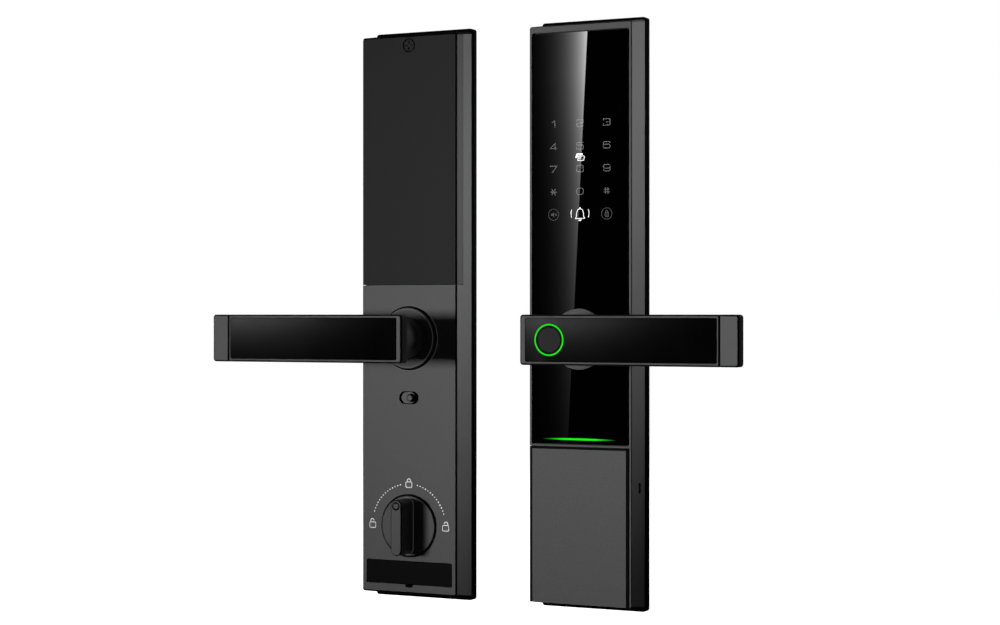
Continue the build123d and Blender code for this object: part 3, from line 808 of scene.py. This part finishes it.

# ---------------------------------------------------------------- thin glowing rings painted as highlights on edges

bar_foot_half, bar_foot_r, bar_foot_above_front = 14.4, 4.45, 15.5
foot_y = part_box("turn_knob")[0].y + bar_foot_above_front * MM
foot = Print((turn_x * MM, turn_z * MM), foot_y)
upper = arc(0.0, bar_foot_half, bar_foot_r, bar_foot_r, 0, 180, 16)
lower = arc(0.0, -bar_foot_half, bar_foot_r, bar_foot_r, 180, 360, 16)
foot.stroke(upper + lower, 0.5, True)
foot_highlight_ink = ink("Foot_edge_painted_highlight", 0.12, 0.028, under_glass=False)
foot.piece("thumbturn_foot_painted_highlight", foot_highlight_ink, "thumbturn")

groove_highlight_ink = ink("Groove_edge_painted_highlight", 0.1, 0.032, under_glass=False)
for name, radius, plane_y in (
    ("rose_edge_painted_highlight", 19.3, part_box("int_rose")[0].y),
    ("groove_edge", 21.65, front_y),
):
    lip = Print((turn_x * MM, 0.0), plane_y)
    lip.ring(radius, 0.38, 96)
    lip.piece(name, groove_highlight_ink)

# a dark ring painted as shade over the groove round the privacy slider's knob
knob_x, knob_z, knob_rim_r = 1.6, -39.5, 1.95
knob = Print(((turn_x + knob_x) * MM, knob_z * MM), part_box("privacy_slider")[0].y)
knob.ring(knob_rim_r, 0.5, 32)
knob.piece("slider_knob_painted_shade", ink("Knob_ring_painted_shade", 0.004, under_glass=False), "slider")

# ---------------------------------------------------------------- black seams at the lever tips

seam_width, seam_inset, seam_lap, seam_bevel = (mm * MM for mm in (1.5, 0.7, 0.1, 0.8))
seam_finish = moulded("Seam_black", grey(0.002), rough=0.7, grain_mm=0.3, specular=0.05)
for unit, inward in (("ext", -1), ("int", 1)):
    low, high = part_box(unit + "_lever_end_cap")
    cap_x = low.x if inward < 0 else high.x
    near, far = cap_x - inward * seam_lap, cap_x + inward * (seam_width + seam_lap)
    spans = (
        (min(near, far), max(near, far)),
        (low.y + seam_inset, high.y - seam_inset),
        (low.z + seam_inset, high.z - seam_inset),
    )
    work = bmesh.new()
    bmesh.ops.create_cube(work, size=1.0)
    for vertex in work.verts:
        for axis, (start, end) in enumerate(spans):
            vertex.co[axis] = end if vertex.co[axis] > 0 else start
    along_x = [e for e in work.edges if abs(e.verts[0].co.x - e.verts[1].co.x) > seam_lap]
    bmesh.ops.bevel(
        work, geom=along_x, offset=seam_bevel, segments=4, profile=0.5, affect="EDGES"
    )
    mesh = bpy.data.meshes.new(unit + "_lever_seam")
    work.to_mesh(mesh)
    work.free()
    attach(placed(unit + "_lever_seam", mesh, seam_finish), unit + "_lever")

# ---------------------------------------------------------------- stage and lights

floor_z, floor_reach = -0.2420, 60.0
AROUND_UNITS = (0.3, 0.6)  # distances from the frame's origin, in metres, where the floor brightens


def stage_plane(name, corners, material):
    mesh = bpy.data.meshes.new(name)
    mesh.from_pydata(corners, [], [list(range(len(corners)))])
    made = placed(name, mesh, material)
    return made


def rectangle(low, high):
    """Corners, anticlockwise, of the rectangle between two (a, b) points."""
    return [(low[0], low[1]), (high[0], low[1]), (high[0], high[1]), (low[0], high[1])]


floor_look = Look("Stage_floor")
floor_look.colour(floor_look.mix(floor_look.noise(60.0), grey(0.86), grey(0.9)))
floor_look.set(Roughness=0.9, Specular_IOR_Level=0.1, Emission_Color=WHITE)
distance = floor_look.add("ShaderNodeVectorMath", operation="LENGTH")
floor_look.link(floor_look.place, distance.inputs[0])
floor_glow = floor_look.remap(distance.outputs["Value"], *AROUND_UNITS, 0.72, 1.0)
floor_look.link(floor_glow, floor_look.surface.inputs["Emission Strength"])
floor = stage_plane(
    "stage_floor",
    [(x, y, floor_z) for x, y in rectangle((-floor_reach,) * 2, (floor_reach,) * 2)],
    floor_look.material,
)
floor.visible_glossy = False
floor.visible_diffuse = False

# A dim board beside the camera, seen only in the polished faces: its glow is what they mirror.
# The glass mirrors a strip that ends at a slanting edge; each lever's inlay mirrors a low band.
board_y, board_low, board_high = -1.528, (-1.34, -0.20), (-0.43, 0.45)
edge_top, edge_bottom = Vector((-0.685, 0.412)), Vector((-0.715, -0.161))
strip_level, strip_width, strip_full_above, strip_knee = 7.4, 0.0145, 0.356, 0.276
strip_fall, knee_rise, knee_fall, knee_floor = (2.73, 8.38), 4.5, 14.3, 0.58
band_low, band_high, band_top, band_height = -0.0515, 0.0135, 0.0052, 0.0185
band_split, ext_band_start, int_band_start = -0.80, -0.668, -1.210
ext_band_level, ext_band_fall, int_band_level, int_band_fall = 1.08, (8.3, 75.0), 1.2, (0.0, 58.6)

board_look = Look("Stage_mirror_board")
board_look.tree.nodes.remove(board_look.surface)
glow = board_look.add("ShaderNodeEmission")
board_look.link(
    glow.outputs["Emission"], board_look.tree.nodes["Material Output"].inputs["Surface"]
)
px, pz = board_look.axis(board_look.place, "X"), board_look.axis(board_look.place, "Z")
m, product = board_look.math, board_look.product


def past(value, start):
    """How far value is past start, or 0."""
    return m("MAXIMUM", m("SUBTRACT", value, start), 0.0)


def quadratic_fall(distance, linear, square):
    """exp(-(linear d + square d^2)), with d in metres."""
    falls = m("ADD", product(distance, linear), product(distance, distance, square))
    return m("EXPONENT", product(falls, -1.0))


slope = (edge_top.x - edge_bottom.x) / (edge_top.y - edge_bottom.y)
edge_x = m("ADD", product(m("SUBTRACT", pz, edge_bottom.y), slope), edge_bottom.x)
behind = m("SUBTRACT", edge_x, px)
down = m("MAXIMUM", m("SUBTRACT", strip_full_above, pz), 0.0)
below_knee = m("MAXIMUM", m("SUBTRACT", strip_knee, pz), 0.0)
falling = m("EXPONENT", product(below_knee, -knee_fall))
dimmed = m("ADD", product(falling, 1 - knee_floor), knee_floor)
strip = product(
    quadratic_fall(behind, 1 / strip_width, 0.0),
    quadratic_fall(down, *strip_fall),
    strip_level,
    m("EXPONENT", product(past(pz, strip_knee), knee_rise)),
    dimmed,
    m("GREATER_THAN", behind, 0.0),
)

fade_down = m("EXPONENT", product(m("SUBTRACT", pz, band_top), 1 / band_height))
ext_glow = product(
    quadratic_fall(past(px, ext_band_start), *ext_band_fall),
    fade_down,
    ext_band_level,
    m("GREATER_THAN", px, band_split),
)
int_glow = product(
    quadratic_fall(m("SUBTRACT", px, int_band_start), *int_band_fall),
    fade_down,
    int_band_level,
    m("LESS_THAN", px, band_split),
)
bands = product(m("ADD", ext_glow, int_glow), board_look.between(pz, band_low, band_high))
board_look.link(m("ADD", strip, bands), glow.inputs["Strength"])
board = stage_plane(
    "stage_mirror_board",
    [(x, board_y, z) for x, z in rectangle(board_low, board_high)],
    board_look.material,
)
for ray in ("camera", "diffuse", "shadow", "transmission", "volume_scatter"):
    setattr(board, "visible_" + ray, False)


def soft_light(name, place, aim, width, height, power, spread=180.0):
    """An area light that lights matt surfaces and is mirrored in none."""
    data = bpy.data.lights.new(name, "AREA")
    data.shape, data.size, data.size_y = "RECTANGLE", width, height
    data.energy, data.spread = power, math.radians(spread)
    made = bpy.data.objects.new(name, data)
    bpy.context.collection.objects.link(made)
    made.location = place
    made.rotation_mode = "QUATERNION"
    made.rotation_quaternion = (Vector(aim) - Vector(place)).to_track_quat("-Z", "Y")
    made.visible_glossy = False
    made.visible_camera = False


between_units = (-0.06, 0.0, 0.0)
soft_light("key_left", (-1.12, -1.73, 0.02), (0.107, -0.03, 0.068), 0.5, 0.3, 1.94, 30.0)
soft_light(
    "side_right", (0.889, 0.83, 0.9), (-0.028, -0.016, 0.117), 0.422, 0.047, 0.832, 18.68
)
soft_light("left_fill", (-1.6, 0.5, 0.5), between_units, 1.0, 1.0, 9.0)
soft_light("back_fill", (0.3, 1.8, 0.7), between_units, 1.2, 1.2, 22.0)

# the world is white to the camera and dim to surfaces
AMBIENT, MIRRORED_AMBIENT = 0.03, 0.003
world = bpy.data.worlds.new("Studio")
bpy.context.scene.world = world
world.use_nodes = True
sky = world.node_tree
background = sky.nodes["Background"]
background.inputs["Color"].default_value = WHITE
rays = sky.nodes.new("ShaderNodeLightPath").outputs
total = rays["Is Camera Ray"]
for ray, level in (("Is Diffuse Ray", AMBIENT), ("Is Glossy Ray", MIRRORED_AMBIENT)):
    total = tree_math(sky, "ADD", total, tree_math(sky, "MULTIPLY", rays[ray], level))
sky.links.new(total, background.inputs["Strength"])

# ---------------------------------------------------------------- camera

camera_data = bpy.data.cameras.new("Camera")
camera_data.lens, camera_data.sensor_width = 77.86, 36.0
camera_data.shift_y = 0.0019
camera_data.clip_start, camera_data.clip_end = 0.01, 100.0
camera = bpy.data.objects.new("Camera", camera_data)
bpy.context.collection.objects.link(camera)
camera.location = (0.58025, -1.278, 0.0158)
camera.rotation_euler = (math.radians(90), 0.0, math.radians(27))
bpy.context.scene.camera = camera
bpy.context.scene.view_settings.view_transform = "Standard"
bpy.context.scene.view_settings.look = "None"
